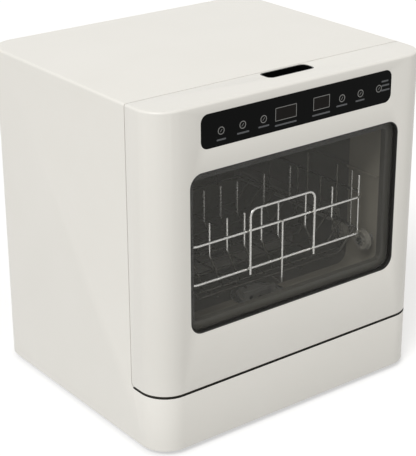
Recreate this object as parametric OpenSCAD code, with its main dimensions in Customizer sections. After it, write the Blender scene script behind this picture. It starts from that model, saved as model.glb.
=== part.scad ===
// Countertop dishwasher with a drop-down glass door and a roll-out wire basket.
// Millimetres. X to the right, Y to the back, Z up. The origin is on the surface the
// feet stand on, under the middle of the body.

/* [Body] */
// Width of the body
body_w = 420; // [400:1:460]
// Depth of the body
body_d = 368; // [360:1:400]
// Height of the body above the feet
body_h = 428; // [424:1:450]
// Height of the rubber feet
foot_h = 7; // [5:0.5:12]
// Radius of the feet
foot_r = 14; // [10:0.5:18]
// Distance of the feet's centres from the body's sides
foot_inset = 42; // [38:1:60]
// Radius of the four upright corners, seen from above
corner_r = 36; // [28:1:40]
// Rounding of the top edge
edge_r = 3; // [1:0.5:5]
// Wall of the outer shell
shell_t = 2.5; // [2:0.1:3]
// Wall of inner sheet and moulded plates
plate_t = 2.5; // [2:0.1:3]
// Play between pieces that sit inside each other
fit_gap = 0.3; // [0.2:0.05:0.4]

/* [Door] */
// Depth of the door's wrapped sides and top strip
door_d = 55; // [52:0.5:58]
// Height of the door's lower edge above the body's lower edge
door_lift = 75; // [74:0.5:80]
// Gap between the door and the shell, on the sides and top
seam_gap = 1.5; // [1.2:0.1:2]
// Gap between the door's lower edge and the plinth
plinth_gap = 3.5; // [3.2:0.1:5]
// Rounding of the door's lower rear corner, seen from the side
door_corner_r = 5; // [4:0.5:14]
// Depth of the door's lower wall
door_sill_d = 20; // [18:0.5:22]
// Distance from the door's front face to the rear face of its inner panel
liner_d = 18; // [17:0.5:19]
// Distance of the hinge axis behind the front face
hinge_d = 9; // [8.8:0.1:9.4]
// Height of the hinge axis above the door's lower edge
hinge_rise = 14; // [13.5:0.1:15]
// Radius of the hinge pins
hinge_pin_r = 4; // [3.5:0.1:4.2]
// Radial play of the hinge pins in the brackets
hinge_play = 0.06; // [0.03:0.01:0.1]
// Distance of the hinge brackets from the body's sides
hinge_margin = 40; // [39.5:0.5:42]

/* [Window] */
// Distance of the window opening from the body's sides
window_margin = 48.5; // [47:0.5:65]
// Height of the window opening
window_h = 201.5; // [180:0.5:206]
// Corner radius of the window opening
window_r = 17; // [12:1:22]
// Distance from the top of the body to the window opening
window_drop = 80; // [76:1:90]
// Thickness of the glass
glass_t = 4; // [3:0.5:5]
// Width that the gasket shows inside the opening
gasket_lip = 1.5; // [1:0.1:2.5]
// Width of the inner panel's frame seen through the glass
liner_frame = 11.5; // [9:0.5:14]

/* [Control panel] */
// Distance of the black control panel from the body's sides
panel_margin = 64; // [60:0.5:75]
// Height of the black control panel
panel_h = 41.5; // [36:0.5:46]
// Corner radius of the control panel
panel_r = 10; // [6:0.5:14]
// Distance from the top of the body to the control panel
panel_drop = 12; // [10:0.5:16]
// Distance between neighbouring touch keys
key_pitch = 30.5; // [28:0.5:31]
// Distance from the keys' middle to the nearest touch key
key_start = 60.4; // [58:0.1:64]
// Distance of the keys' middle from the body's middle
key_shift = 4.5; // [0:0.5:6]
// Radius of a touch pad
key_r = 4.5; // [3:0.5:6]

/* [Finger slot] */
// Width of the finger cup in the top strip
cup_w = 72; // [56:1:80]
// Front to back size of the finger cup
cup_d = 23.5; // [18:0.5:24]
// Depth of the finger cup below the top
cup_depth = 18; // [12:0.5:20]
// Distance from the front face to the cup
cup_front = 30; // [30:0.5:33]
// Distance of the cup's middle to the right of the body's middle
cup_shift = 14; // [0:1:18]

/* [Tub] */
// Distance of the tub's inside from the body's sides
tub_margin = 52; // [50:0.5:53]
// Height of the tub's floor above the body's lower edge
tub_lift = 127; // [125:1:131]
// Height inside the tub
tub_h = 266; // [250:1:268]
// Distance from the front face to the tub's mouth
tub_front = 21; // [20.8:0.1:21.5]
// Distance from the front face to the tub's rear wall
tub_back = 300; // [298:1:304]
// Corner radius inside the tub
tub_r = 16; // [10:1:20]
// Wall of the tub
tub_t = 2.5; // [2:0.1:3]
// Width of the flange round the mouth
flange_w = 10; // [8:0.5:12]
// Thickness of the door seal
seal_t = 2.6; // [2:0.1:2.7]

/* [Basket] */
// Distance of the basket's rim wire from the tub's side
basket_gap = 16; // [14:0.5:17]
// Distance from the front face to the basket's front wire
basket_front = 32; // [31:0.5:36]
// Front to back size of the basket
basket_len = 254; // [240:1:256]
// Height of the lower rim above the tub's floor
rim_low = 65; // [62:1:70]
// Height of the upper rim above the lower rim
rim_rise = 50; // [40:1:60]
// Radius of the rim wire
rim_r = 1.8; // [1.2:0.1:1.8]
// Radius of the thinner wires
wire_r = 1.4; // [1:0.1:1.5]
// Corner radius of the rims
rim_corner = 16; // [12:1:20]
// Depth of the basket's floor below the lower rim
floor_drop = 28; // [20:1:29]
// Distance between neighbouring floor wires
floor_pitch = 27; // [24:1:30]
// Half width of the handle loop
handle_x = 51; // [40:1:60]
// Height of the handle loop above the lower rim
handle_rise = 79; // [60:1:90]
// Height of the tines above the lower rim
tine_rise = 61; // [45:1:75]
// Height of the side posts above the lower rim
post_rise = 77; // [55:1:85]
// Distance between neighbouring plate tines
tine_pitch = 27; // [24:0.5:28]
// Distance between neighbouring bowl tines
bowl_pitch = 45; // [40:1:46]
// Height of the bend in the tines above the floor wires
tine_kink = 46; // [20:1:50]
// How far a tine's foot stands to the right of its tip
tine_lean = 20; // [5:1:21]
// How far the rear tine row stands to the right of the front one
tine_shift = 6; // [0:1:7]
// How far the basket rolls out
basket_travel = 140; // [100:1:140]
// Radius of the rollers under the basket
roller_r = 12.6; // [11:0.1:14]
// Distance from the front face to the first rollers
roller_front = 37; // [36:0.5:40]
// Distance between the two rollers of a side
roller_step = 43; // [38:1:46]

/* [Spraying and draining] */
// Distance from the front face to the spray arm's axis
arm_back = 160; // [156:1:166]
// Length of the spray arm
arm_len = 250; // [180:1:252]
// Width of the spray arm's blades
arm_w = 30; // [24:1:34]
// Thickness of the spray arm
arm_t = 11; // [9:0.5:13]
// Distance from the front face to the filter's axis
filter_back = 72; // [70:0.5:76]
// Radius of the filter cup
filter_r = 26; // [20:0.5:27]
// Height of the wash pump's axis above the body's lower edge
pump_lift = 81; // [78:1:84]
// Radius of the wash pump's housing
pump_r = 36; // [32:0.5:37]
// Radius of the wash motor
motor_r = 32; // [26:0.5:34]
// Length of the wash motor
motor_len = 72; // [60:1:85]

/* [Rear] */
// Depth of the pocket in the rear panel that holds the connectors
pocket_d = 21; // [19:0.5:24]
// Radius of the water inlet's threaded spigot
inlet_r = 13.2; // [12:0.1:13.4]
// Radius of the drain spigot
drain_r = 9.5; // [8:0.5:11]

/* [Hidden] */
$fn = 48;

// Cutters reach past what they cut by this much
over = 1;
// Welded wires sink this far into each other
weld = 0.2;

white = "#ecebe6";
grey = "#8b8a86";
dark = "#2b2b2c";
black = "#0e0e0f";
steel = "#c9cbcc";
beige = "#cfc9bb";

// The body's faces
half_w = body_w / 2;
front = -body_d / 2;
back = body_d / 2;
low = foot_h;
top = foot_h + body_h;
inner_w = body_w - 2 * shell_t;
window_w = body_w - 2 * window_margin;
panel_w = body_w - 2 * panel_margin;
hinge_x = half_w - hinge_margin;
tub_w = body_w - 2 * tub_margin;
basket_x = tub_w / 2 - basket_gap;
inner_d = body_d - 2 * shell_t;
inner_top = top - shell_t;

// The door's faces
door_back = front + door_d;
door_low = low + door_lift;
plinth_top = door_low - plinth_gap;
liner_back = front + liner_d;
liner_t = 2;
hinge_y = front + hinge_d;
hinge_z = door_low + hinge_rise;

// The frame that closes the shell behind the door
frame_front = door_back + seam_gap + 0.5;
frame_back = frame_front + plate_t;
frame_w = inner_w - 2 * fit_gap;
frame_top = inner_top - fit_gap;
shelf_top = plinth_top - 2;

window_z = top - window_drop - window_h / 2;
panel_z = top - panel_drop - panel_h / 2;
display_rise = -1.25;

// The tub
floor_z = low + tub_lift;
ceiling_z = floor_z + tub_h;
tub_mid_z = (floor_z + ceiling_z) / 2;
mouth_y = front + tub_front;
tub_back_y = front + tub_back;
flange_t = 2.5;
tub_under = floor_z - tub_t;

// The basket, its rollers and its rails
rim_low_z = floor_z + rim_low;
rim_high_z = rim_low_z + rim_rise;
// Pieces of the basket that are joined by touching stay this far apart
touch = 0.02;
basket_y0 = front + basket_front;
basket_y1 = basket_y0 + basket_len;
ride_gap = 0.4;
ride_z = rim_low_z - rim_r - ride_gap;
roller_z = ride_z - roller_r;
roller_w = 7;
roller_flange = 1.8;
roller_pin_r = 3;
roller_play = 0.06;
roller_in = basket_x - 2.5;
roller_ys = [front + roller_front, front + roller_front + roller_step];
rail_front = roller_ys[1] + roller_r + roller_flange + 2;
rail_t = 4;
floor_wire_z = rim_low_z - floor_drop;
under_wire_z = floor_wire_z - 2 * wire_r - touch;
cross_wire_z = under_wire_z + 2 * wire_r + touch;
upright_in = rim_r + wire_r - weld;
floor_in = rim_r + wire_r + touch;
tine_ys = [front + 60, front + 150];
tine_start = -116;
plate_tines = 6;
tine_last = tine_start + (plate_tines - 1) * tine_pitch;
tine_xs = concat([for (i = [0 : plate_tines - 1]) tine_start + i * tine_pitch],
                 [tine_last + bowl_pitch, tine_last + 2 * bowl_pitch]);

// Spray arm, filter, sump and pumps
arm_y = front + arm_back;
arm_z = floor_z + 15;
hub_r = 8;
hub_bore = 5.5;
hub_play = 0.06;
arm_wall = 1.8;
filter_y = front + filter_back;
sump_r = 36;
sump_t = 3;
sump_low = low + 63;
pump_z = low + pump_lift;
pump_len = 30;
pump_y0 = arm_y - pump_len / 2;
pump_y1 = arm_y + pump_len / 2;
shaft_r = 3;
shaft_play = 0.06;
drain_z = low + 77;
drain_body_r = 20;
drain_x0 = -(sump_r + 14);
drain_len = 18;
drain_motor_len = 42;
side_port_y = filter_y + 14;
heater_r = 24;
heater_gap = 30;
heater_leg_x = heater_r * sin(heater_gap / 2);
heater_leg_y = filter_y + heater_r * cos(heater_gap / 2);
bay_w = 2 * sump_r + 16;
bay_front = filter_y - sump_r - 4.5;
bay_top = low + tub_lift - 6;

// The side and rear compartments
tub_side = tub_w / 2 + tub_t;
fan_y = front + 230;
fan_z = low + 313;
fan_r = 36;
fan_w = half_w - tub_side - 18;
fan_x0 = tub_side + 4;
tank_y0 = tub_back_y + tub_t + 3.5;
rear_y1 = back - shell_t;
rear_y0 = rear_y1 - plate_t;
pocket_y = rear_y1 - pocket_d;
pocket_z0 = low + 34;
pocket_z1 = low + 94;
pocket_w = body_w - 140;
connector_z = (pocket_z0 + pocket_z1) / 2;
connector_x = pocket_w / 2 - 45;
inlet_neck_r = inlet_r - 0.6;
spigot_y = pocket_y + 3;
spigot_end = back - 3;
rear_open_w = body_w - 2 * corner_r - 36;
rear_open_z0 = low + 28;
rear_open_z1 = top - 18;
screw_r = 1.5;
screw_hole_r = 1.65;
head_r = 3.4;
head_t = 1.6;
rear_screw_x = rear_open_w / 2 + 8;
rear_screw_zs = [rear_open_z0 + 20, (rear_open_z0 + rear_open_z1) / 2, rear_open_z1 - 20];
door_screw_x = half_w - corner_r + 4;
door_screw_zs = [door_low + 105, door_low + 210, top - 24];
bracket_t = 3;
bracket_r = 6;
bracket_foot_w = 18;
bracket_foot_h = 30;
bracket_screw_dz = 9;
latch_x = 75;
latch_z = top - 15;
latch_w = 32;
latch_h = 18;
latch_d = 19;
latch_pin_r = 1.5;
latch_play = 0.06;
tongue_t = 3;
tongue_h = 6;
tongue_back = 50;
jaw_x = latch_x + tongue_t / 2 + 6;
jaw_y = frame_front - 5;

// ---- Helpers -------------------------------------------------------------------------

// Rectangle with round corners, about its middle
module round_rect(w, h, r) {
  square([w - 2 * r, h], center = true);
  square([w, h - 2 * r], center = true);
  for (x = [-1, 1], y = [-1, 1])
    translate([x * (w / 2 - r), y * (h / 2 - r)]) circle(r);
}

// Extrudes an outline drawn in X and Z from y0 to y1
module along_y(y0, y1) {
  translate([0, y1, 0]) rotate([90, 0, 0]) linear_extrude(y1 - y0) children();
}

// Extrudes an outline drawn in Y and Z from x0 to x1
module along_x(x0, x1) {
  translate([x0, 0, 0]) rotate([90, 0, 90]) linear_extrude(x1 - x0) children();
}

// Box between two corners
module box(a, b) {
  translate(a) cube(b - a);
}

// Cylinder along X, Y or Z between two stations
module rod_x(x0, x1, y, z, r) {
  translate([x0, y, z]) rotate([0, 90, 0]) cylinder(h = x1 - x0, r = r);
}
module rod_y(y0, y1, x, z, r) {
  translate([x, y0, z]) rotate([-90, 0, 0]) cylinder(h = y1 - y0, r = r);
}
module rod_z(z0, z1, x, y, r) {
  translate([x, y, z0]) cylinder(h = z1 - z0, r = r);
}

// Straight rod between any two points
module rod(a, b, r) {
  d = b - a;
  translate(a) rotate([0, acos(d.z / norm(d)), atan2(d.y, d.x)])
    cylinder(h = norm(d), r = r);
}

// Bent rod through a list of points, with a ball at each bend
module bent_rod(points, r) {
  for (i = [0 : len(points) - 2]) rod(points[i], points[i + 1], r);
  for (i = [1 : len(points) - 2]) translate(points[i]) sphere(r * 1.04);
}

// Both sides of the machine
module both_sides() {
  children();
  mirror([1, 0, 0]) children();
}

// Upright wire loop with round corners, lying flat at height z
module wire_loop(x, y0, y1, z, r, corner) {
  for (y = [y0, y1]) rod_x(-x + corner, x - corner, y, z, r);
  for (s = [-1, 1]) rod_y(y0 + corner, y1 - corner, s * x, z, r);
  for (s = [-1, 1], e = [0, 1])
    translate([s * (x - corner), e == 0 ? y0 + corner : y1 - corner, z])
      rotate([0, 0, s > 0 ? (e == 0 ? 270 : 0) : (e == 0 ? 180 : 90)])
        rotate_extrude(angle = 90) translate([corner, 0]) circle(r);
}

// Cuts the corners of a path, as often as asked
function smooth(p, times) = times == 0 ? p : smooth(concat([p[0]],
  [for (i = [0 : len(p) - 2]) each [(3 * p[i] + p[i + 1]) / 4, (p[i] + 3 * p[i + 1]) / 4]],
  [p[len(p) - 1]]), times - 1);

function unit(v) = v / norm(v);

// Round tube along a path; no stretch of the path may run along the direction "aside"
module swept_tube(path, r, sides, aside) {
  last = len(path) - 1;
  rings = [for (i = [0 : last])
    let (t = unit(path[min(i + 1, last)] - path[max(i - 1, 0)]),
         u = unit(cross(t, aside)), v = cross(t, u))
    for (j = [0 : sides - 1])
      path[i] + r * (cos(360 * j / sides) * u + sin(360 * j / sides) * v)];
  skin = [for (i = [0 : last - 1], j = [0 : sides - 1])
    let (k = (j + 1) % sides, a = i * sides, b = a + sides)
    each [[a + j, b + j, b + k], [a + j, b + k, a + k]]];
  polyhedron(rings, concat([[for (j = [0 : sides - 1]) j]],
    [[for (j = [sides - 1 : -1 : 0]) last * sides + j]], skin), convexity = 10);
}

// ---- Shell ---------------------------------------------------------------------------

// Upright outline with its top corners rounded
module rounded_top(w) {
  translate([-w / 2, low]) square([w, body_h - edge_r]);
  translate([-w / 2 + edge_r, low]) square([w - 2 * edge_r, body_h]);
  for (s = [-1, 1]) translate([s * (w / 2 - edge_r), top - edge_r]) circle(edge_r);
}

// The whole outer form, with its round corners and rounded top edge
module body_form() {
  along_x(-half_w + corner_r, half_w - corner_r) rounded_top(body_d);
  along_y(front + corner_r, back - corner_r) rounded_top(body_w);
  for (x = [-1, 1], y = [-1, 1])
    translate([x * (half_w - corner_r), y * (back - corner_r), 0])
      rotate_extrude() intersection() {
        rounded_top(2 * corner_r);
        square([corner_r, top + over]);
      }
}

// The room inside the outer walls
module body_room(z0, z1) {
  translate([0, 0, z0]) linear_extrude(z1 - z0)
    round_rect(inner_w, inner_d, corner_r - shell_t);
}

// Side view of the door's zone, with its rounded lower rear corner
module door_outline(y1, z0, r) {
  translate([front - over, z0]) square([y1 - r - front + over, top + over - z0]);
  translate([front - over, z0 + r]) square([y1 - front + over, top + over - z0 - r]);
  translate([y1 - r, z0 + r]) circle(r);
}

module cabinet_shell() {
  color(white) difference() {
    body_form();
    body_room(low - over, inner_top);
    along_x(-half_w - over, half_w + over)
      door_outline(door_back + seam_gap, plinth_top, door_corner_r + seam_gap);
    box([-rear_open_w / 2, rear_y1 - over, rear_open_z0],
        [rear_open_w / 2, back + over, rear_open_z1]);
    for (s = [-1, 1], z = rear_screw_zs) {
      rod_y(rear_y1 - over, back + over, s * rear_screw_x, z, screw_hole_r);
      rod_y(back - head_t - 0.2, back + over, s * rear_screw_x, z, head_r + 0.4);
    }
  }
}

module rear_panel() {
  plate_w = rear_open_w + 34;
  slots = 9;
  slot_pitch = 9;
  color(grey) difference() {
    union() {
      box([-plate_w / 2, rear_y0, rear_open_z0 - 12], [plate_w / 2, rear_y1, rear_open_z1 + 12]);
      box([-pocket_w / 2 - plate_t, pocket_y - plate_t, pocket_z0 - plate_t],
          [pocket_w / 2 + plate_t, rear_y0 + 0.1, pocket_z1 + plate_t]);
    }
    box([-pocket_w / 2, pocket_y, pocket_z0], [pocket_w / 2, rear_y1 + over, pocket_z1]);
    for (s = [-1, 1], z = rear_screw_zs)
      rod_y(rear_y0 - over, rear_y1 + over, s * rear_screw_x, z, screw_hole_r);
    rod_y(pocket_y - 2 * plate_t, pocket_y + over, connector_x, connector_z, inlet_neck_r + fit_gap);
    rod_y(pocket_y - 2 * plate_t, pocket_y + over, -connector_x, connector_z, drain_r + fit_gap);
    rod_y(pocket_y - 2 * plate_t, pocket_y + over, 0, connector_z, 8 + fit_gap);
    for (i = [0 : slots - 1])
      along_y(rear_y0 - over, rear_y1 + over)
        translate([112, top - 60 - i * slot_pitch]) round_rect(56, 4, 1.9);
  }
}

module base_pan() {
  post_x = 120;
  rim_h = 14;
  cradle_gap = 0.1;
  color(dark) difference() {
    union() {
      difference() {
        translate([0, 0, low]) linear_extrude(rim_h)
          round_rect(inner_w - 2 * fit_gap, inner_d - 2 * fit_gap, corner_r - shell_t - fit_gap);
        translate([0, 0, low + plate_t]) linear_extrude(rim_h)
          round_rect(inner_w - 8, inner_d - 8, corner_r - shell_t - 4);
      }
      for (s = [-1, 1], y = [front + 112, front + 284])
        rod_z(low + over, tub_under, s * post_x, y, 6);
      for (y = [pump_y1 + 16, pump_y1 + motor_len - 18])
        box([-22, y, low + over], [22, y + 5, pump_z - motor_r / 2]);
      box([drain_x0 - drain_len - 28, side_port_y - 12, low + over],
          [drain_x0 - drain_len - 22, side_port_y + 12, drain_z - 4]);
    }
    rod_y(pump_y1, pump_y1 + motor_len + over, 0, pump_z, motor_r + cradle_gap);
    rod_x(drain_x0 - drain_len - 40, drain_x0, side_port_y, drain_z,
          drain_body_r - 3 + cradle_gap);
    for (x = [-1, 1], y = [-1, 1])
      rod_z(low - over, low + plate_t + over, x * (half_w - foot_inset),
            y * (body_d / 2 - foot_inset), 4);
  }
}

module feet() {
  stem_r = 3.8;
  color(black) for (x = [-1, 1], y = [-1, 1])
    translate([x * (half_w - foot_inset), y * (body_d / 2 - foot_inset), 0]) {
      rotate_extrude() polygon([[0, 0], [foot_r - 2, 0], [foot_r - 0.6, 0.8],
        [foot_r, foot_h - 1], [foot_r, foot_h], [0, foot_h]]);
      rod_z(foot_h - 0.5, foot_h + plate_t + 0.4, 0, 0, stem_r);
      rod_z(foot_h + plate_t + 0.3, foot_h + plate_t + 2.5, 0, 0, stem_r + 1.4);
    }
}

module front_frame() {
  color(beige) difference() {
    union() {
      box([-frame_w / 2, frame_front, shelf_top - plate_t], [frame_w / 2, frame_back, frame_top]);
      intersection() {
        box([-frame_w / 2, front, shelf_top - plate_t], [frame_w / 2, frame_back, shelf_top]);
        translate([0, 0, shelf_top - 2 * plate_t]) linear_extrude(3 * plate_t)
          round_rect(frame_w, inner_d - 2 * fit_gap, corner_r - shell_t - fit_gap);
      }
      box([-bay_w / 2 - plate_t, bay_front - plate_t, shelf_top - plate_t],
          [bay_w / 2 + plate_t, frame_back, bay_top]);
    }
    box([-bay_w / 2, bay_front, shelf_top - 2 * plate_t],
        [bay_w / 2, frame_back + over, tub_under]);
    along_y(frame_front - over, frame_back + over) translate([0, tub_mid_z])
      round_rect(tub_w + 2 * (tub_t + fit_gap), tub_h + 2 * (tub_t + fit_gap),
                 tub_r + tub_t + fit_gap);
    for (s = [-1, 1], e = [-1, 1])
      rod_y(frame_front - over, frame_back + over, s * (hinge_x + bracket_foot_w / 2),
            hinge_z + e * bracket_screw_dz, screw_hole_r);
  }
}

// ---- Tub -----------------------------------------------------------------------------

module tub_outline(grow) {
  translate([0, tub_mid_z])
    round_rect(tub_w + 2 * grow, tub_h + 2 * grow, tub_r + grow);
}

module tub() {
  rib = 4;
  rib_z = floor_z + 137;
  low_rib_z = floor_z + 104;
  color(beige) difference() {
    union() {
      difference() {
        union() {
          along_y(mouth_y, tub_back_y + tub_t) tub_outline(tub_t);
          along_y(mouth_y, mouth_y + flange_t) tub_outline(flange_w);
        }
        along_y(mouth_y - over, tub_back_y) tub_outline(0);
      }
      for (s = [-1, 1]) {
        along_y(mouth_y + 6, tub_back_y) translate([s * (tub_w / 2 - rib / 2 + 0.1), rib_z])
          square([rib, 3], center = true);
        along_y(mouth_y + 40, tub_back_y) translate([s * (tub_w / 2 - 1), low_rib_z])
          square([2.2, 2.4], center = true);
      }
    }
    rod_z(tub_under - over, floor_z + over, 0, filter_y, sump_r - sump_t);
    rod_z(tub_under - over, floor_z + over, 0, arm_y, hub_r + fit_gap);
    rod_z(ceiling_z - over, ceiling_z + tub_t + over, 0, arm_y, 6);
    along_x(tub_w / 2 - over, tub_side + over) translate([fan_y, duct_z])
      square([duct_w, duct_w], center = true);
    for (s = [-1, 1], y = roller_ys)
      rod_x(s > 0 ? tub_w / 2 - over : -tub_side - over,
            s > 0 ? tub_side + over : -tub_w / 2 + over, y, roller_z, roller_pin_r + roller_play);
  }
}

module door_seal() {
  color(black) difference() {
    along_y(mouth_y - seal_t, mouth_y) tub_outline(flange_w - 1);
    along_y(mouth_y - seal_t - over, mouth_y + over) tub_outline(1.5);
    along_y(mouth_y - seal_t - over, mouth_y - seal_t / 2) difference() {
      tub_outline(flange_w - 3.4);
      tub_outline(3.9);
    }
  }
}

module basket_rails() {
  keep_z = rim_low_z + rim_r + 1.9;
  rail_in = roller_in;
  keep_in = basket_x - 0.5;
  color(grey) both_sides() {
    box([rail_in, rail_front, ride_z - rail_t], [tub_w / 2, tub_back_y, ride_z]);
    box([keep_in, rail_front, keep_z], [tub_w / 2, tub_back_y, keep_z + 3]);
    box([tub_w / 2 - 3, rail_front, ride_z - over], [tub_w / 2, tub_back_y, keep_z + over]);
    box([rail_in, basket_y1 + rim_r + 0.4, ride_z - over], [tub_w / 2, tub_back_y, keep_z + over]);
  }
}

module roller_pins() {
  color(steel) both_sides() for (y = roller_ys) {
    rod_x(roller_in - 1.2, tub_side + 1.5, y, roller_z, roller_pin_r);
    rod_x(roller_in - 2.6, roller_in - 1, y, roller_z, roller_pin_r + 1.6);
    rod_x(roller_in + roller_w + fit_gap, tub_w / 2, y, roller_z, roller_pin_r + 2);
  }
}

// One pair of rollers, left and right
module roller_pair(y) {
  color(white) both_sides() difference() {
    union() {
      rod_x(roller_in, roller_in + roller_w, y, roller_z, roller_r);
      rod_x(roller_in + roller_w - roller_flange, roller_in + roller_w, y, roller_z,
            roller_r + roller_flange);
    }
    rod_x(roller_in - over, roller_in + roller_w + over, y, roller_z,
          roller_pin_r + roller_play);
    for (a = [0 : 60 : 300])
      rod_x(roller_in - over, roller_in + 2.5, y + 7.5 * cos(a), roller_z + 7.5 * sin(a), 1.9);
  }
}
module front_rollers() roller_pair(roller_ys[0]);
module second_rollers() roller_pair(roller_ys[1]);

// ---- Basket --------------------------------------------------------------------------

module basket_rims() {
  side_ys = [basket_y0 + 84, basket_y0 + 130, basket_y0 + 190];
  post_ys = [front + 56, front + 84, front + 142];
  rear_xs = [0, basket_x / 3, 2 * basket_x / 3];
  foot_z = rim_low_z - 0.9;
  turn = rim_corner - upright_in;
  stay_y = basket_y0 - upright_in;
  stay_z = floor_wire_z - 2 * wire_r - touch;
  color(steel) {
    for (z = [rim_low_z, rim_high_z])
      wire_loop(basket_x, basket_y0, basket_y1, z, rim_r, rim_corner);
    for (s = [-1, 1]) {
      for (y = side_ys)
        rod_z(foot_z, rim_high_z + 1, s * (basket_x - upright_in), y, wire_r);
      for (y = post_ys)
        rod_z(foot_z, rim_low_z + post_rise, s * (basket_x - upright_in), y, wire_r);
      rod_z(foot_z, rim_low_z + post_rise, s * (basket_x - rim_corner + turn * sin(45)),
            basket_y0 + rim_corner - turn * sin(45), wire_r);
      for (x = rear_xs)
        rod_z(foot_z, rim_high_z + 1, s * x, basket_y1 - upright_in, wire_r);
    }
    bent_rod([[0, stay_y, rim_high_z + 2], [0, stay_y, stay_z],
              [0, basket_y1 - basket_len / 8, stay_z]], wire_r);
  }
}

// Cross wires hang from the lower rims; long wires lie under them, clear of the stay
module basket_floor() {
  x_rim = basket_x - floor_in;
  x_floor = x_rim - 26;
  color(steel) {
    for (y = [basket_y0 + 0.6 * floor_pitch : floor_pitch : basket_y1 - 0.6 * floor_pitch])
      bent_rod([[-x_rim, y, rim_low_z + 1], [-x_floor, y, floor_wire_z],
                [x_floor, y, floor_wire_z], [x_rim, y, rim_low_z + 1]], wire_r);
    for (s = [-1, 1], x = [0.4, 0.8])
      rod_y(basket_y0 + 0.4 * floor_pitch, basket_y1 - 0.4 * floor_pitch, s * x * x_floor,
            under_wire_z, wire_r);
  }
}

module basket_tines() {
  tip_z = rim_low_z + tine_rise - wire_r;
  bend_z = cross_wire_z + tine_kink;
  color(steel) for (row = [0, 1]) translate([row * tine_shift, tine_ys[row], 0]) {
    rod_x(tine_start - 4, tine_last + 2 * bowl_pitch + tine_lean + 1, 0, cross_wire_z, wire_r);
    for (x = tine_xs) {
      bent_rod([[x + tine_lean, 0, cross_wire_z], [x, 0, bend_z], [x, 0, tip_z]], wire_r);
      translate([x, 0, tip_z]) sphere(wire_r * 1.04);
    }
  }
}

module basket_handle() {
  y = basket_y0 - 2 * rim_r - touch;
  bend = 10;
  bar_z = rim_low_z + handle_rise;
  color(steel) {
    for (s = [-1, 1]) {
      rod_z(rim_low_z - 6, bar_z - bend, s * handle_x, y, rim_r);
      translate([s * (handle_x - bend), y, bar_z - bend])
        rotate([90, 0, 0]) rotate([0, 0, s > 0 ? 0 : 90])
          rotate_extrude(angle = 90) translate([bend, 0]) circle(rim_r);
    }
    rod_x(-handle_x + bend, handle_x - bend, y, bar_z, rim_r);
  }
}

// ---- Spraying ------------------------------------------------------------------------

// Outline of the spray arm seen from above
module arm_outline(shrink) {
  round_rect(arm_len - 2 * shrink, arm_w - 2 * shrink, arm_w / 2 - shrink - 0.01);
  circle(24 - shrink);
}

module spray_arm_lower() {
  color(grey) translate([0, arm_y, arm_z]) difference() {
    union() {
      linear_extrude(arm_t / 2) arm_outline(0);
      rod_z(-4, 1, 0, 0, 15);
    }
    translate([0, 0, arm_wall]) linear_extrude(arm_t) arm_outline(arm_wall);
    rod_z(-5, arm_t, 0, 0, hub_r + hub_play);
  }
}

module spray_arm_upper() {
  nozzles = 5;
  color(grey) translate([0, arm_y, arm_z]) difference() {
    translate([0, 0, arm_t / 2]) linear_extrude(arm_t / 2) arm_outline(0);
    translate([0, 0, -over]) linear_extrude(arm_t - arm_wall + over) arm_outline(arm_wall);
    rod_z(0, arm_t + over, 0, 0, hub_r + hub_play);
    for (i = [1 : nozzles], s = [-1, 1])
      rod_z(0, arm_t + over, s * (30 + i * (arm_len / 2 - 40) / nozzles), s * 4 * (i % 2 * 2 - 1), 1.4);
  }
}

module spray_hub() {
  color(dark) translate([0, arm_y, 0]) difference() {
    union() {
      rod_z(tub_under - 8, arm_z + arm_t + 1.2, 0, 0, hub_r);
      rod_z(floor_z, floor_z + 4, 0, 0, 17);
      rod_z(floor_z + 3, arm_z - 4 - 0.4, 0, 0, 13);
      rod_z(tub_under - 3, tub_under, 0, 0, 14);
      rod_z(arm_z + arm_t + 0.4, arm_z + arm_t + 4, 0, 0, 12);
    }
    rod_z(tub_under - 9, arm_z + arm_t - 1, 0, 0, hub_bore);
    for (a = [0 : 90 : 270])
      rotate([0, 0, a]) rod_x(0, hub_r + 2, 0, arm_z + arm_t / 2, 2);
  }
}

module ceiling_nozzle() {
  color(dark) translate([0, arm_y, ceiling_z]) difference() {
    union() {
      rod_z(-1, tub_t + 8, 0, 0, 5.8);
      rotate_extrude() polygon([[0, -18], [9, -18], [13, -13], [14, -6], [17, -2], [17, 0], [0, 0]]);
      rod_z(tub_t, tub_t + 4, 0, 0, 11);
    }
    rod_z(-12, tub_t + 9, 0, 0, 3.4);
    for (a = [0 : 60 : 300])
      rotate([0, 0, a]) translate([7, 0, -19]) cylinder(h = 8, r = 1.2);
  }
}

// ---- Sump, filter, pumps -------------------------------------------------------------

module sump() {
  color(dark) difference() {
    union() {
      rod_z(sump_low, tub_under, 0, filter_y, sump_r);
      rod_z(tub_under - 3, tub_under, 0, filter_y, sump_r + 5);
      rod_y(filter_y + sump_r - 4, pump_y0 - 12, 0, pump_z, 13);
      rod_x(drain_x0 + fit_gap, -sump_r + 7, side_port_y, drain_z, 10);
      rod_x(sump_r - 7, sump_r + 10, side_port_y, drain_z + 14, 5);
    }
    rod_z(sump_low + sump_t, tub_under + over, 0, filter_y, sump_r - sump_t);
    rod_y(filter_y, pump_y0, 0, pump_z, 10);
    rod_x(drain_x0 - over, 0, side_port_y, drain_z, 7);
    rod_x(0, sump_r + 12, side_port_y, drain_z + 14, 3);
    for (s = [-1, 1])
      rod_z(sump_low - over, sump_low + sump_t + over, s * heater_leg_x, heater_leg_y, 2.5);
  }
}

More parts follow.
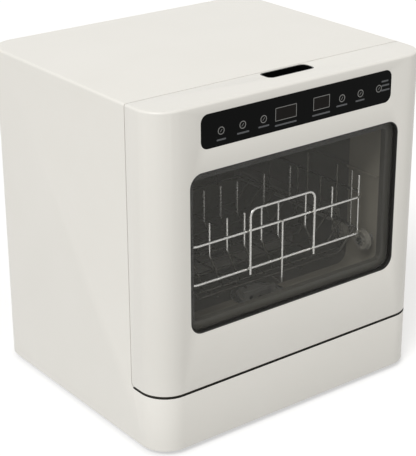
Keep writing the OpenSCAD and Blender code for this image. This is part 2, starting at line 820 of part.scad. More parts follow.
module filter_cup() {
  lid_z = floor_z + 1.6;
  cup_low = sump_low + 22;
  color(grey) translate([0, filter_y, 0]) {
    difference() {
      union() {
        rod_z(cup_low, lid_z, 0, 0, filter_r);
        rod_z(floor_z + 0.6, lid_z + 1, 0, 0, filter_r + 2.6);
      }
      rod_z(cup_low + 2, lid_z + 2, 0, 0, filter_r - 1.8);
      for (a = [15 : 30 : 345]) rotate([0, 0, a])
        for (z = [cup_low + 7, cup_low + 17, cup_low + 27])
          rod_x(filter_r - 4, filter_r + over, 0, z, 3);
    }
    difference() {
      box([-filter_r + 1, -2, lid_z - 4], [filter_r - 1, 2, lid_z + 8]);
      box([-filter_r + 8, -3, lid_z - 5], [filter_r - 8, 3, lid_z + 4]);
    }
  }
}

module filter_plate() {
  ring_in = filter_r + 0.2;
  color(steel) translate([0, filter_y, floor_z]) difference() {
    rod_z(0.02, 0.58, 0, 0, sump_r + 1);
    rod_z(-over, over, 0, 0, ring_in);
    for (a = [0 : 15 : 345]) rotate([0, 0, a]) rod_z(-over, over, ring_in + 4, 0, 1.1);
  }
}

module wash_pump_housing() {
  cover = 3;
  color(dark) difference() {
    union() {
      rod_y(pump_y0, pump_y1, 0, pump_z, pump_r);
      rod_y(pump_y0 - 24, pump_y0 + over, 0, pump_z, 17);
      rod_z(pump_z + pump_r - 8, tub_under - 4, 0, arm_y, 11);
    }
    rod_y(pump_y0 + cover, pump_y1 - cover, 0, pump_z, pump_r - cover);
    rod_y(pump_y0 - 24 - over, pump_y0 + cover + over, 0, pump_z, 13 + fit_gap);
    rod_y(pump_y1 - cover - over, pump_y1 + over, 0, pump_z, shaft_r + shaft_play);
    rod_z(pump_z, tub_under, 0, arm_y, hub_r + fit_gap);
  }
}

module wash_impeller() {
  blade_r = pump_r - 9;
  y0 = pump_y0 + 9;
  y1 = pump_y1 - 6;
  blades = 6;
  color(grey) union() {
    rod_y(y1 - 2, y1, 0, pump_z, blade_r);
    rod_y(y0, y1, 0, pump_z, 8);
    rod_y(y1 - over, pump_y1 + 24, 0, pump_z, shaft_r);
    for (a = [0 : 360 / blades : 359])
      translate([0, 0, pump_z]) rotate([0, a, 0]) translate([0, 0, -pump_z])
        box([6, y0 + 1, pump_z - 0.8], [blade_r - 1, y1 - 1, pump_z + 0.8]);
  }
}

module wash_motor() {
  gap = 0.05;
  color(steel) difference() {
    union() {
      rod_y(pump_y1 + gap, pump_y1 + motor_len, 0, pump_z, motor_r);
      box([-9, pump_y1 + 20, pump_z + motor_r - 4], [9, pump_y1 + 44, pump_z + motor_r + 6]);
    }
    rod_y(pump_y1 - over, pump_y1 + 26, 0, pump_z, shaft_r + shaft_play);
    for (a = [0 : 45 : 315])
      translate([0, 0, pump_z]) rotate([0, a, 0])
        rod_y(pump_y1 + motor_len - 4, pump_y1 + motor_len + over, 0, motor_r - 9, 3.2);
  }
}

module drain_pump() {
  cover = 2.5;
  x1 = drain_x0;
  x0 = drain_x0 - drain_len;
  color(dark) difference() {
    union() {
      rod_x(x0, x1, side_port_y, drain_z, drain_body_r);
      rod_x(x0 - drain_motor_len, x0 + over, side_port_y, drain_z, drain_body_r - 3);
      rod_z(drain_z + drain_body_r - 5, drain_z + drain_body_r + 8, x0 + drain_len / 2, side_port_y, 7);
    }
    rod_x(x0 + cover, x1 - cover, side_port_y, drain_z, drain_body_r - cover);
    rod_x(x1 - cover - over, x1 + over, side_port_y, drain_z, 7);
    rod_x(x0 - 16, x0 + cover + over, side_port_y, drain_z, 2 + shaft_play);
    rod_z(drain_z + drain_body_r - 8, drain_z + drain_body_r + 9, x0 + drain_len / 2, side_port_y, 4.6);
  }
}

module drain_impeller() {
  x0 = drain_x0 - drain_len;
  blades = 4;
  color(grey) union() {
    rod_x(x0 - 14, x0 + 4, side_port_y, drain_z, 2);
    rod_x(x0 + 3.4, x0 + 13, side_port_y, drain_z, 4.5);
    for (a = [0 : 360 / blades : 359])
      translate([0, side_port_y, drain_z]) rotate([a, 0, 0])
        box([x0 + 4, 0, -0.8], [x0 + 13, 14, 0.8]);
  }
}

module heater() {
  tube_r = 3.2;
  z = sump_low + sump_t + 8;
  color(steel) {
    translate([0, filter_y, z]) rotate([0, 0, 90 + heater_gap / 2])
      rotate_extrude(angle = 360 - heater_gap) translate([heater_r, 0]) circle(tube_r);
    for (s = [-1, 1]) rod_z(sump_low - 7, z, s * heater_leg_x, heater_leg_y, 2.2);
  }
}

module level_sensor() {
  x0 = sump_r + 10;
  z = drain_z + 14;
  color(white) difference() {
    union() {
      rod_x(x0 - 6, x0 + 3, side_port_y, z, 7.5);
      rod_x(x0 + 2, x0 + 16, side_port_y, z, 16);
      box([x0 + 16, side_port_y - 8, z - 4], [x0 + 23, side_port_y + 8, z + 4]);
    }
    rod_x(x0 - 7, x0 + 1, side_port_y, z, 5 + 0.05);
  }
}

// The hose from the drain pump to the rear connector
hose_r = 6.5;
drain_top = drain_z + drain_body_r + 8;
drain_port_x = drain_x0 - drain_len / 2;
hose_x = drain_port_x - 16;
hose_z = drain_top + 8;
hose_end_y = pocket_y - plate_t - 12;

module drain_hose() {
  color(dark) swept_tube(smooth([[drain_port_x, side_port_y, drain_top + 0.1],
    [drain_port_x, side_port_y, hose_z], [hose_x, side_port_y + 30, hose_z],
    [hose_x, hose_end_y - 70, hose_z - 10], [-connector_x, hose_end_y - 30, connector_z],
    [-connector_x, hose_end_y, connector_z]], 3), hose_r, 16, [1, 1, 1]);
}

module drain_connector() {
  color(grey) difference() {
    union() {
      rod_y(hose_end_y + 0.1, spigot_end, -connector_x, connector_z, drain_r);
      rod_y(pocket_y, spigot_y, -connector_x, connector_z, drain_r + 5);
      rod_y(pocket_y - plate_t - 4, pocket_y - plate_t, -connector_x, connector_z, drain_r + 4);
      translate([-connector_x, spigot_end, connector_z]) rotate([-90, 0, 0])
        rotate_extrude() polygon([[0, -over], [drain_r, -over], [drain_r, 0], [drain_r - 1, 2], [0, 2]]);
    }
    rod_y(hose_end_y + 4, back, -connector_x, connector_z, drain_r - 2);
  }
}

module inlet_valve() {
  color(white) difference() {
    union() {
      rod_y(pocket_y - plate_t, spigot_y, connector_x, connector_z, inlet_neck_r);
      rod_y(pocket_y, spigot_y, connector_x, connector_z, inlet_r + 5);
      rod_y(spigot_y, spigot_end, connector_x, connector_z, inlet_r);
      box([connector_x - 17, pocket_y - plate_t - 26, connector_z - 15],
          [connector_x + 17, pocket_y - plate_t, connector_z + 15]);
      rod_z(connector_z + 14, connector_z + 44, connector_x, pocket_y - plate_t - 13, 12);
      rod_y(pocket_y - plate_t - 38, pocket_y - plate_t - 25, connector_x, connector_z, 6);
    }
    for (y = [pocket_y + 5 : 2.6 : back - 5])
      translate([connector_x, y, connector_z]) rotate([-90, 0, 0]) rotate_extrude()
        polygon([[inlet_r + over, -1], [inlet_r + over, 2], [inlet_r - 0.8, 0.5]]);
    rod_y(pocket_y - plate_t - 20, back, connector_x, connector_z, inlet_r - 3);
    rod_y(pocket_y - plate_t - 39, pocket_y - plate_t - 18, connector_x, connector_z, 4);
  }
}

module cord_gland() {
  color(black) difference() {
    union() {
      rod_y(pocket_y - plate_t - 10, pocket_y + over, 0, connector_z, 8);
      rod_y(pocket_y, pocket_y + 4, 0, connector_z, 11);
      translate([0, pocket_y + 4, connector_z]) rotate([-90, 0, 0])
        rotate_extrude() polygon([[0, 0], [9, 0], [9, 3], [6.4, 13], [0, 13]]);
      rod_y(pocket_y - plate_t - 5, pocket_y - plate_t, 0, connector_z, 12);
    }
    rod_y(pocket_y - plate_t - 11, pocket_y + 18, 0, connector_z, 3.6);
  }
}

// ---- Rear and side compartments --------------------------------------------------------

tank_x = tub_w / 2 - 6;
tank_z0 = low + 128;
tank_z1 = top - 36;
tank_y1 = rear_y0 - 6;
tank_port_x = connector_x - 45;
tank_port_y = (tank_y0 + tank_y1) / 2;

module water_tank() {
  wall = 2.2;
  rib = 10;
  color("#d9dadb") difference() {
    union() {
      box([-tank_x, tank_y0, tank_z0], [tank_x, tank_y1, tank_z1]);
      rod_z(tank_z0 - 12, tank_z0 + over, tank_port_x, tank_port_y, 7);
      for (s = [-1, 1])
        box([s * (tank_x - 40) - rib / 2, tank_y1 - over, tank_z0 + 20],
            [s * (tank_x - 40) + rib / 2, rear_y0, tank_z1 - 20]);
      for (s = [-1, 1])
        box([s * (tank_x - 40) - rib / 2, tub_back_y + tub_t, tank_z0 + 30],
            [s * (tank_x - 40) + rib / 2, tank_y0 + over, tank_z0 + 60]);
    }
    box([-tank_x + wall, tank_y0 + wall, tank_z0 + wall],
        [tank_x - wall, tank_y1 - wall, tank_z1 - wall]);
    rod_z(tank_z0 - 13, tank_z0 + wall + over, tank_port_x, tank_port_y, 4.6);
  }
}

module fill_hose() {
  y0 = pocket_y - plate_t - 38.1;
  color(dark) swept_tube(smooth([[connector_x, y0, connector_z],
    [connector_x, y0 - 18, connector_z], [tank_port_x + 12, y0 - 20, connector_z + 16],
    [tank_port_x, tank_port_y - 12, tank_z0 - 34], [tank_port_x, tank_port_y, tank_z0 - 28],
    [tank_port_x, tank_port_y, tank_z0 - 12.1]], 3), 5.5, 16, [1, -1, 0.3]);
}

fan_wall = 2;
fan_x1 = fan_x0 + fan_w;
fan_eye_r = 20;
fan_axle_r = 2;
duct_w = 30;
duct_z = fan_z - 12;

module fan_housing() {
  color(dark) {
    difference() {
      union() {
        rod_x(fan_x0, fan_x1, fan_y, fan_z, fan_r);
        along_x(fan_x0, fan_x1) translate([fan_y, fan_z - fan_r + 4])
          square([32, 30], center = true);
        along_x(tub_side, fan_x0 + over) translate([fan_y, duct_z])
          square([duct_w + 8, duct_w + 8], center = true);
      }
      rod_x(fan_x0 + fan_wall, fan_x1 - fan_wall, fan_y, fan_z, fan_r - fan_wall);
      rod_x(fan_x1 - fan_wall - over, fan_x1 + over, fan_y, fan_z, fan_eye_r);
      along_x(tub_side - over, fan_x0 + fan_wall + over) translate([fan_y, duct_z])
        square([duct_w, duct_w], center = true);
    }
    for (a = [0, 90])
      translate([0, fan_y, fan_z]) rotate([a, 0, 0])
        box([fan_x1 - fan_wall, -fan_eye_r - over, -2], [fan_x1, fan_eye_r + over, 2]);
    rod_x(fan_x1 - 8, fan_x1, fan_y, fan_z, 7);
    rod_x(fan_x0 + 11, fan_x1, fan_y, fan_z, fan_axle_r);
  }
}

module fan_rotor() {
  x0 = fan_x0 + 6;
  x1 = fan_x1 - 4;
  blades = 16;
  ring = fan_r - 9;
  color(black) difference() {
    union() {
      rod_x(x0, x0 + 2, fan_y, fan_z, ring + 1);
      rod_x(x0, fan_x1 - 9, fan_y, fan_z, 10);
      for (a = [0 : 360 / blades : 359])
        translate([0, fan_y, fan_z]) rotate([a, 0, 0])
          box([x0 + over, ring - 7, -0.6], [x1, ring, 0.6]);
    }
    rod_x(x0 + 3, fan_x1, fan_y, fan_z, fan_axle_r + 0.06);
  }
}

module vent_grille() {
  x1 = tub_w / 2;
  sleeve = duct_w - 2 * fit_gap;
  color(grey) {
    difference() {
      along_x(x1 - 2.5, x1) translate([fan_y, duct_z]) round_rect(duct_w + 8, duct_w + 8, 5);
      for (i = [-2 : 2])
        along_x(x1 - 4, x1 + over) translate([fan_y, duct_z + i * 5.2])
          round_rect(duct_w - 6, 3, 1.4);
    }
    along_x(x1 - 0.5, x1 + 2) translate([fan_y, duct_z]) difference() {
      square([sleeve, sleeve], center = true);
      square([sleeve - 3, sleeve - 3], center = true);
    }
  }
}

box_x1 = -tub_side - 3;
box_x0 = -half_w + shell_t + 1.5;
box_y0 = front + 150;
box_y1 = front + 290;
box_z0 = low + 178;
box_z1 = low + 322;

module control_box() {
  wall = 2;
  color("#d8d8d4") difference() {
    union() {
      box([box_x0, box_y0, box_z0], [box_x1, box_y1, box_z1]);
      for (z = [box_z0 + 20, box_z1 - 20])
        rod_x(box_x1 - over, -tub_side, (box_y0 + box_y1) / 2, z, 6);
    }
    box([box_x0 - over, box_y0 + wall, box_z0 + wall], [box_x1 - wall, box_y1 - wall, box_z1 - wall]);
  }
}

module power_board() {
  x1 = box_x1 - 2;
  standoff = 6;
  board_t = 1.6;
  face = x1 - standoff - board_t;
  color("#2f6b3c") {
    box([face, box_y0 + 6, box_z0 + 6], [face + board_t, box_y1 - 6, box_z1 - 6]);
    for (y = [box_y0 + 14, box_y1 - 14], z = [box_z0 + 14, box_z1 - 14])
      rod_x(face + board_t - 0.1, x1, y, z, 3);
    box([face - 16, box_y0 + 20, box_z0 + 20], [face + 0.1, box_y0 + 50, box_z0 + 44]);
    for (i = [0 : 3])
      box([face - 14, box_y0 + 66, box_z0 + 18 + 26 * i], [face + 0.1, box_y0 + 84, box_z0 + 34 + 26 * i]);
    for (i = [0, 1]) rod_x(face - 18, face + 0.1, box_y0 + 110, box_z0 + 36 + 36 * i, 9);
  }
}

// ---- Hinges and latch ------------------------------------------------------------------

module hinge_brackets() {
  x0 = hinge_x - bracket_t / 2;
  x1 = hinge_x + bracket_t / 2;
  foot_t = 2.5;
  color(steel) both_sides() difference() {
    union() {
      rod_x(x0, x1, hinge_y, hinge_z, bracket_r);
      box([x0, hinge_y, hinge_z - bracket_r], [x1, frame_front, hinge_z + bracket_r]);
      box([x0, frame_front - foot_t, hinge_z - bracket_foot_h / 2],
          [x0 + bracket_foot_w, frame_front, hinge_z + bracket_foot_h / 2]);
    }
    rod_x(x0 - over, x1 + over, hinge_y, hinge_z, hinge_pin_r + hinge_play);
    for (e = [-1, 1])
      rod_y(frame_front - foot_t - over, frame_front + over, hinge_x + bracket_foot_w / 2,
            hinge_z + e * bracket_screw_dz, screw_hole_r);
  }
}

arm_x = hinge_x + bracket_t / 2 + 3;
arm_plate_t = 2.5;

module hinge_arms() {
  arm_top = hinge_z + 74;
  y0 = hinge_y - 4;
  y1 = liner_back - liner_t;
  color(steel) both_sides() difference() {
    union() {
      rod_x(arm_x, arm_x + arm_plate_t, hinge_y, hinge_z, bracket_r);
      box([arm_x, y0, hinge_z], [arm_x + arm_plate_t, y1, arm_top]);
      box([arm_x, y1 - 2, hinge_z + 14], [arm_x + 12, y1, arm_top]);
    }
    rod_x(arm_x - over, arm_x + arm_plate_t + over, hinge_y, hinge_z, hinge_pin_r + 0.02);
  }
}

module hinge_pins() {
  color(steel) both_sides() {
    rod_x(hinge_x - 18, arm_x + arm_plate_t + 1, hinge_y, hinge_z, hinge_pin_r);
    rod_x(arm_x + arm_plate_t + 0.2, arm_x + arm_plate_t + 2.4, hinge_y, hinge_z, hinge_pin_r + 1.6);
  }
}

module door_springs() {
  wire = 0.75;
  coil_r = hinge_pin_r + 0.5 + wire;
  pitch = 2;
  turns = 5.75;
  steps = 12;
  leg_x = hinge_x - bracket_t / 2 - wire - 0.05;
  start_x = leg_x - pitch * turns - 0.8;
  coil = [for (i = [0 : turns * steps]) let (a = 360 * i / steps)
    [start_x + pitch * i / steps, coil_r * cos(a), coil_r * sin(a)]];
  leg = [[leg_x - 0.4, 7, -coil_r], [leg_x, 14, -coil_r]];
  color(steel) both_sides() translate([0, hinge_y, hinge_z])
    swept_tube(concat(coil, leg), wire, 8, [1, 0, 0]);
}

module latch_housing() {
  wall = 2;
  y0 = frame_front - latch_d;
  color(dark) {
    difference() {
      box([latch_x - latch_w / 2, y0, latch_z - latch_h / 2],
          [latch_x + latch_w / 2, frame_front, latch_z + latch_h / 2]);
      box([latch_x - latch_w / 2 + wall, y0 + wall, latch_z - latch_h / 2 + wall],
          [latch_x + latch_w / 2 - wall, frame_front + over, latch_z + latch_h / 2 - wall]);
      box([latch_x - 4, y0 - over, latch_z - 5.5], [latch_x + 4, y0 + wall + over, latch_z + 5.5]);
    }
    rod_z(latch_z - latch_h / 2 + over, latch_z + latch_h / 2 - over, jaw_x, jaw_y, latch_pin_r);
  }
}

module latch_jaw() {
  jaw_h = 6;
  nose_y = jaw_y - 8;
  nose_r = 2;
  nose_x = latch_x + tongue_t / 2 + fit_gap + nose_r;
  color(white) difference() {
    union() {
      rod_z(latch_z - jaw_h / 2, latch_z + jaw_h / 2, jaw_x, jaw_y, 3.4);
      rod_z(latch_z - jaw_h / 2, latch_z + jaw_h / 2, nose_x, nose_y, nose_r);
      translate([0, 0, latch_z - jaw_h / 2]) linear_extrude(jaw_h)
        polygon([[nose_x - 0.6, nose_y - 1.2], [nose_x + 1.6, nose_y - 1.2],
                 [jaw_x + 2.2, jaw_y], [jaw_x - 2.2, jaw_y]]);
    }
    rod_z(latch_z - jaw_h, latch_z + jaw_h, jaw_x, jaw_y, latch_pin_r + latch_play);
  }
}

module latch_tongue() {
  pad_w = 16;
  color(steel) {
    box([latch_x - tongue_t / 2, liner_back, latch_z - tongue_h / 2],
        [latch_x + tongue_t / 2, front + tongue_back, latch_z + tongue_h / 2]);
    box([latch_x - pad_w / 2, liner_back, latch_z - 7],
        [latch_x + pad_w / 2, liner_back + 2, latch_z + 7]);
  }
}

switch_half = 4.2;
switch_x = latch_x - latch_w / 2 - switch_half - fit_gap;
switch_y0 = frame_front - 28;
plunger_r = 2;

module door_switch() {
  color(black) difference() {
    box([switch_x - switch_half, switch_y0, latch_z - 8],
        [switch_x + switch_half, frame_front, latch_z + 6]);
    rod_y(switch_y0 - over, switch_y0 + 14, switch_x, latch_z, plunger_r + 0.06);
  }
}

module switch_plunger() {
  color(white) union() {
    rod_y(liner_back + fit_gap + 0.2, switch_y0 + 12, switch_x, latch_z, plunger_r);
    translate([switch_x, liner_back + fit_gap + 0.2 + 3, latch_z]) rotate([-90, 0, 0])
      cylinder(h = 1.5, r = plunger_r + 0.8);
  }
}

module cabinet_screws() {
  color(steel) {
    for (s = [-1, 1], z = rear_screw_zs) {
      rod_y(back - head_t - 0.1, back - 0.1, s * rear_screw_x, z, head_r);
      rod_y(rear_y0 - 6, back - head_t, s * rear_screw_x, z, screw_r);
    }
    for (s = [-1, 1], e = [-1, 1]) {
      x = s * (hinge_x + bracket_foot_w / 2);
      z = hinge_z + e * bracket_screw_dz;
      rod_y(frame_front - 2.5 - head_t, frame_front - 2.5, x, z, head_r);
      rod_y(frame_front - 3, frame_back + 6, x, z, screw_r);
    }
  }
}

// ---- Door ------------------------------------------------------------------------------

module window_outline(grow) {
  translate([0, window_z])
    round_rect(window_w + 2 * grow, window_h + 2 * grow, window_r + grow);
}

module panel_outline(grow) {
  translate([0, panel_z]) round_rect(panel_w + 2 * grow, panel_h + 2 * grow, panel_r + grow);
}

cup_mid_y = front + cup_front + cup_d / 2;
cup_r = 8;
boss_r = 4.5;

module door_outer_panel() {
  notch_x0 = hinge_x - 20;
  notch_x1 = arm_x + arm_plate_t + 4;
  color(white) {
    difference() {
      intersection() {
        body_form();
        along_x(-half_w - over, half_w + over) door_outline(door_back, door_low, door_corner_r);
      }
      body_room(door_low + shell_t, inner_top);
      intersection() {
        box([-half_w, front + door_sill_d, door_low - over],
            [half_w, door_back + over, door_low + shell_t + over]);
        body_room(door_low - 2 * over, door_low + shell_t + 2 * over);
      }
      along_y(front - over, front + shell_t + over) window_outline(0);
      along_y(front - over, front + shell_t + over) panel_outline(0);
      translate([cup_shift, cup_mid_y, inner_top - over]) linear_extrude(shell_t + 2 * over)
        round_rect(cup_w, cup_d, cup_r);
      both_sides() box([notch_x0, front + shell_t, door_low - over],
                       [notch_x1, front + door_sill_d + over, door_low + shell_t + over]);
    }
    both_sides() for (z = door_screw_zs) difference() {
      rod_y(front + shell_t - 0.1, liner_back - liner_t, door_screw_x, z, boss_r);
      rod_y(front + shell_t + 2, liner_back, door_screw_x, z, screw_hole_r);
    }
  }
}

gasket_reach = 7;
glass_reach = 3;
glass_front = front + shell_t + 1.4;
gasket_back = glass_front + glass_t + 1.6;

module window_glass() {
  color("#3c3b38", 0.45)
    along_y(glass_front, glass_front + glass_t) window_outline(glass_reach);
}

module window_gasket() {
  color(black) difference() {
    union() {
      along_y(front + 0.3, front + shell_t + 0.1) window_outline(-fit_gap / 3);
      along_y(front + shell_t, gasket_back) window_outline(gasket_reach);
    }
    along_y(front - over, gasket_back + over) window_outline(-gasket_lip);
    along_y(glass_front, glass_front + glass_t) window_outline(glass_reach);
  }
}

display_y1 = front + 9;

module control_fascia() {
  rim = 4;
  color(black) union() {
    along_y(front + 0.1, front + shell_t + 0.1) panel_outline(-0.15);
    along_y(front + shell_t, front + shell_t + 1.6) panel_outline(rim);
    for (s = [-1, 1], e = [-1, 1])
      rod_y(front + shell_t + over, display_y1, s * (panel_w / 2 - 6), panel_z + e * (panel_h / 2 - 6), 3);
  }
}

module display_modules() {
  z = panel_z + display_rise;
  y0 = front + shell_t + 1.6;
  color("#1c1c1d") {
    box([-38, y0, z - 8], [-6, display_y1, z + 8]);
    box([20, y0, z - 8], [46, display_y1, z + 8]);
  }
}

module touch_pads() {
  color(steel) for (s = [-1, 1], i = [0 : 2])
    rod_y(front + shell_t + 1.6, display_y1, key_shift + s * (key_start + i * key_pitch),
          panel_z - 2, key_r);
}

module touch_board() {
  color("#2f6b3c") union() {
    box([-panel_w / 2 + 1, display_y1, panel_z - panel_h / 2 + 1],
        [panel_w / 2 - 1, display_y1 + 1.6, panel_z + panel_h / 2 - 1]);
    box([-14, display_y1 + over, panel_z - 6], [14, display_y1 + 5, panel_z + 4]);
  }
}

module door_inner_panel() {
  y0 = liner_back - liner_t;
  frame_y0 = gasket_back + 0.1;
  notch_x0 = hinge_x - 20;
  notch_x1 = arm_x + arm_plate_t + 4;
  color(grey) difference() {
    union() {
      intersection() {
        box([-frame_w / 2, y0, door_low + 3.5], [frame_w / 2, liner_back, frame_top]);
        translate([0, 0, door_low]) linear_extrude(top - door_low)
          round_rect(frame_w, inner_d - 2 * fit_gap, corner_r - shell_t - fit_gap);
      }
      along_y(frame_y0, y0 + over) window_outline(gasket_reach);
    }
    along_y(frame_y0 - over, liner_back + over) window_outline(-liner_frame);
    along_y(frame_y0 + 2, liner_back - liner_t) difference() {
      window_outline(gasket_reach + over);
      window_outline(-liner_frame + 2);
    }
    both_sides() box([notch_x0, y0 - over, door_low - over],
                     [notch_x1, liner_back + over, hinge_z + bracket_r + 4]);
    both_sides() for (z = door_screw_zs)
      rod_y(y0 - over, liner_back + over, door_screw_x, z, screw_hole_r);
  }
}

module finger_cup() {
  wall = 1.8;
  lip = 2.5;
  color(black) translate([cup_shift, cup_mid_y, 0]) difference() {
    union() {
      translate([0, 0, top - cup_depth]) linear_extrude(cup_depth - edge_r / 6)
        round_rect(cup_w - 0.4, cup_d - 0.4, cup_r - 0.2);
      translate([0, 0, inner_top - 2]) linear_extrude(2)
        intersection() {
          round_rect(cup_w + 2 * lip, cup_d + 2 * lip, cup_r + lip);
          translate([0, -1.2]) square([cup_w + 20, cup_d + 2 * lip - 2.4], center = true);
        }
    }
    translate([0, 0, top - cup_depth + wall]) linear_extrude(cup_depth)
      round_rect(cup_w - 2 * wall, cup_d - 2 * wall, cup_r - wall);
  }
}

module door_screws() {
  color(steel) both_sides() for (z = door_screw_zs) {
    rod_y(liner_back, liner_back + head_t, door_screw_x, z, head_r);
    rod_y(front + shell_t + 3, liner_back + 0.1, door_screw_x, z, screw_r);
  }
}

// ---- Nodes -----------------------------------------------------------------------------

cabinet_shell();
rear_panel();
base_pan();
feet();
front_frame();
tub();
door_seal();
basket_rails();
ceiling_nozzle();
spray_hub();
sump();
wash_pump_housing();
wash_motor();
drain_pump();
heater();
drain_hose();
inlet_valve();
fill_hose();
drain_connector();
cord_gland();
water_tank();
fan_housing();
vent_grille();
control_box();
power_board();
level_sensor();
hinge_brackets();
door_springs();
latch_housing();
door_switch();
switch_plunger();
cabinet_screws();
roller_pins();
door_outer_panel();
window_glass();
window_gasket();
control_fascia();
display_modules();
touch_pads();
touch_board();
door_inner_panel();
finger_cup();
latch_tongue();
hinge_arms();
hinge_pins();
door_screws();
basket_rims();
basket_floor();
basket_tines();
basket_handle();
front_rollers();
second_rollers();
spray_arm_lower();
spray_arm_upper();
filter_cup();
filter_plate();
wash_impeller();
drain_impeller();
fan_rotor();
latch_jaw();
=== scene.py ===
"""A countertop dishwasher with a wrap-round drop-down door, a smoked window and a roll-out wire basket.

X to the right, Y to the back, Z up, in metres. The feet stand at Z 0, and the middle of the body is over
the origin. Lengths that are named here are in millimetres.
"""

import math

import bpy
from mathutils import Matrix, Vector


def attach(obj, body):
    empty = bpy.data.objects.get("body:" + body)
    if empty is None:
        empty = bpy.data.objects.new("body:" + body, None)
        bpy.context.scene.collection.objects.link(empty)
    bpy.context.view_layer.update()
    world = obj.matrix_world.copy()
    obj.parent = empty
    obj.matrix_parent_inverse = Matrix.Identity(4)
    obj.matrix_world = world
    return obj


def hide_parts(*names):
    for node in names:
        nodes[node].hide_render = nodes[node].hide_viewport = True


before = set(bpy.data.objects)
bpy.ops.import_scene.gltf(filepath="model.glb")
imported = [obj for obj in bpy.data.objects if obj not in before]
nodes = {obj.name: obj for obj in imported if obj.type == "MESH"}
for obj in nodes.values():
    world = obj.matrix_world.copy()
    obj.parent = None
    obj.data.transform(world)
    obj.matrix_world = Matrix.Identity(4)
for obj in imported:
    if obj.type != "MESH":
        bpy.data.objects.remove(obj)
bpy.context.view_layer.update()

MM = 0.001

# The door's lower edge, the plinth's top, and how far from these the seam's faces of painted shade reach
DOOR_LOW = 82
PLINTH_TOP = 78.5
SEAM_REACH = 0.9
# The back and the face of the coat of ink on the control strip
INK_BACK = -183.88
INK_FACE = -183.97
# The middles of the touch keys on the strip, from left to right: X and Z
KEYS = ((-117.2, 399.6), (-86.2, 400.0), (-55.6, 400.3), (65.2, 401.4), (95.0, 401.6), (125.2, 401.6))
# The displays: name, X and Z of the middle, and width
DISPLAYS = (("long_display", -22.1, 401.6, 32.2), ("short_display", 32.6, 402.6, 25.6))
DISPLAY_HEIGHT = 16.2
# The bars of thin ink by the keys and displays: X and Z of the middle, and width
LABELS = (
    (-117.0, 389.0, 13.3),
    (-85.6, 390.6, 17.6),
    (-55.4, 391.6, 16.0),
    (-22.4, 388.2, 33.0),
    (32.4, 388.6, 28.0),
    (65.0, 392.6, 17.4),
    (94.6, 393.0, 14.6),
    (135.0, 409.5, 11.4),
    (136.0, 404.2, 12.6),
    (136.2, 398.2, 14.4),
)
# The bead of painted highlight round the mouth of the finger slot: its middle, and its length and width
SLOT_MIDDLE = (14, -142.25, 434.3)
SLOT_SIZE = (70.0, 21.5)


# ---- Camera --------------------------------------------------------------------------

# The lens and the width of its film, and where the camera stands, in metres
LENS_MM = 112.93
FILM_MM = 36
VIEW_FROM = (-1.0483, -1.3836, 0.9256)
# The side of the front it stands on, its height above the level, and its tilt, in degrees
VIEW_TURN = -37.24
VIEW_RISE = 23.0
VIEW_TILT = -0.24


def set_camera():
    """The photograph's view: high on the left of the front, with a long lens."""
    lens = bpy.data.cameras.new("view")
    lens.lens = LENS_MM
    lens.sensor_width = FILM_MM
    camera = bpy.data.objects.new("view", lens)
    turn, rise, tilt = math.radians(VIEW_TURN), math.radians(VIEW_RISE), math.radians(VIEW_TILT)
    back = Vector(
        (math.sin(turn) * math.cos(rise), -math.cos(turn) * math.cos(rise), math.sin(rise))
    )
    across = Vector((0, 0, 1)).cross(back).normalized()
    upward = back.cross(across)
    right = math.cos(tilt) * across + math.sin(tilt) * upward
    up = math.cos(tilt) * upward - math.sin(tilt) * across
    axes = Matrix((right, up, back)).transposed().to_4x4()
    camera.matrix_world = Matrix.Translation(VIEW_FROM) @ axes
    bpy.context.scene.collection.objects.link(camera)
    bpy.context.scene.camera = camera


set_camera()


# ---- Materials -----------------------------------------------------------------------


def linear(code):
    """An sRGB hex colour as the linear one that a shader takes."""
    parts = [int(code[i : i + 2], 16) / 255 for i in (1, 3, 5)]
    return [c / 12.92 if c <= 0.04045 else ((c + 0.055) / 1.055) ** 2.4 for c in parts] + [1]


def add(tree, kind, links=None, **settings):
    """A node with its settings, and its inputs, each a value or the output that feeds it."""
    made = tree.nodes.new(kind)
    for key, value in settings.items():
        setattr(made, key, value)
    for key, value in (links or {}).items():
        if isinstance(value, bpy.types.NodeSocket):
            tree.links.new(value, made.inputs[key])
        else:
            made.inputs[key].default_value = value
    return made


def per_metre(size_mm):
    """The scale of a texture whose pattern repeats at that size."""
    return 1000 / size_mm


def blank(name, **sockets):
    """A new material of that name, with its tree, its shader with those sockets, and object coordinates."""
    made = bpy.data.materials.new(name)
    made.use_nodes = True
    tree = made.node_tree
    shader = tree.nodes["Principled BSDF"]
    for key, value in sockets.items():
        shader.inputs[key.replace("_", " ")].default_value = value
    place = add(tree, "ShaderNodeTexCoord").outputs["Object"]
    return made, tree, shader, place


def two_tone(tree, fac, low, high):
    """A colour that goes from low to high with fac."""
    return add(
        tree,
        "ShaderNodeMix",
        {"Factor": fac, "A": linear(low), "B": linear(high)},
        data_type="RGBA",
    ).outputs["Result"]


def ramp(tree, value, start_mm, end_mm):
    """0 where a coordinate is at start, 1 where it is at end."""
    return add(
        tree,
        "ShaderNodeMapRange",
        {"Value": value, "From Min": start_mm * MM, "From Max": end_mm * MM},
    ).outputs["Result"]


def larger(tree, one, other):
    """The larger of two values."""
    return add(tree, "ShaderNodeMath", {0: one, 1: other}, operation="MAXIMUM").outputs[0]


def grained(tree, shader, place, grain_mm, depth_mm, strength):
    """Gives the shader a fine relief of that grain and depth."""
    grain = add(
        tree, "ShaderNodeTexNoise", {"Vector": place, "Scale": per_metre(grain_mm), "Detail": 2}
    )
    bump = add(
        tree,
        "ShaderNodeBump",
        {"Height": grain.outputs["Fac"], "Strength": strength, "Distance": depth_mm * MM},
    )
    tree.links.new(bump.outputs["Normal"], shader.inputs["Normal"])


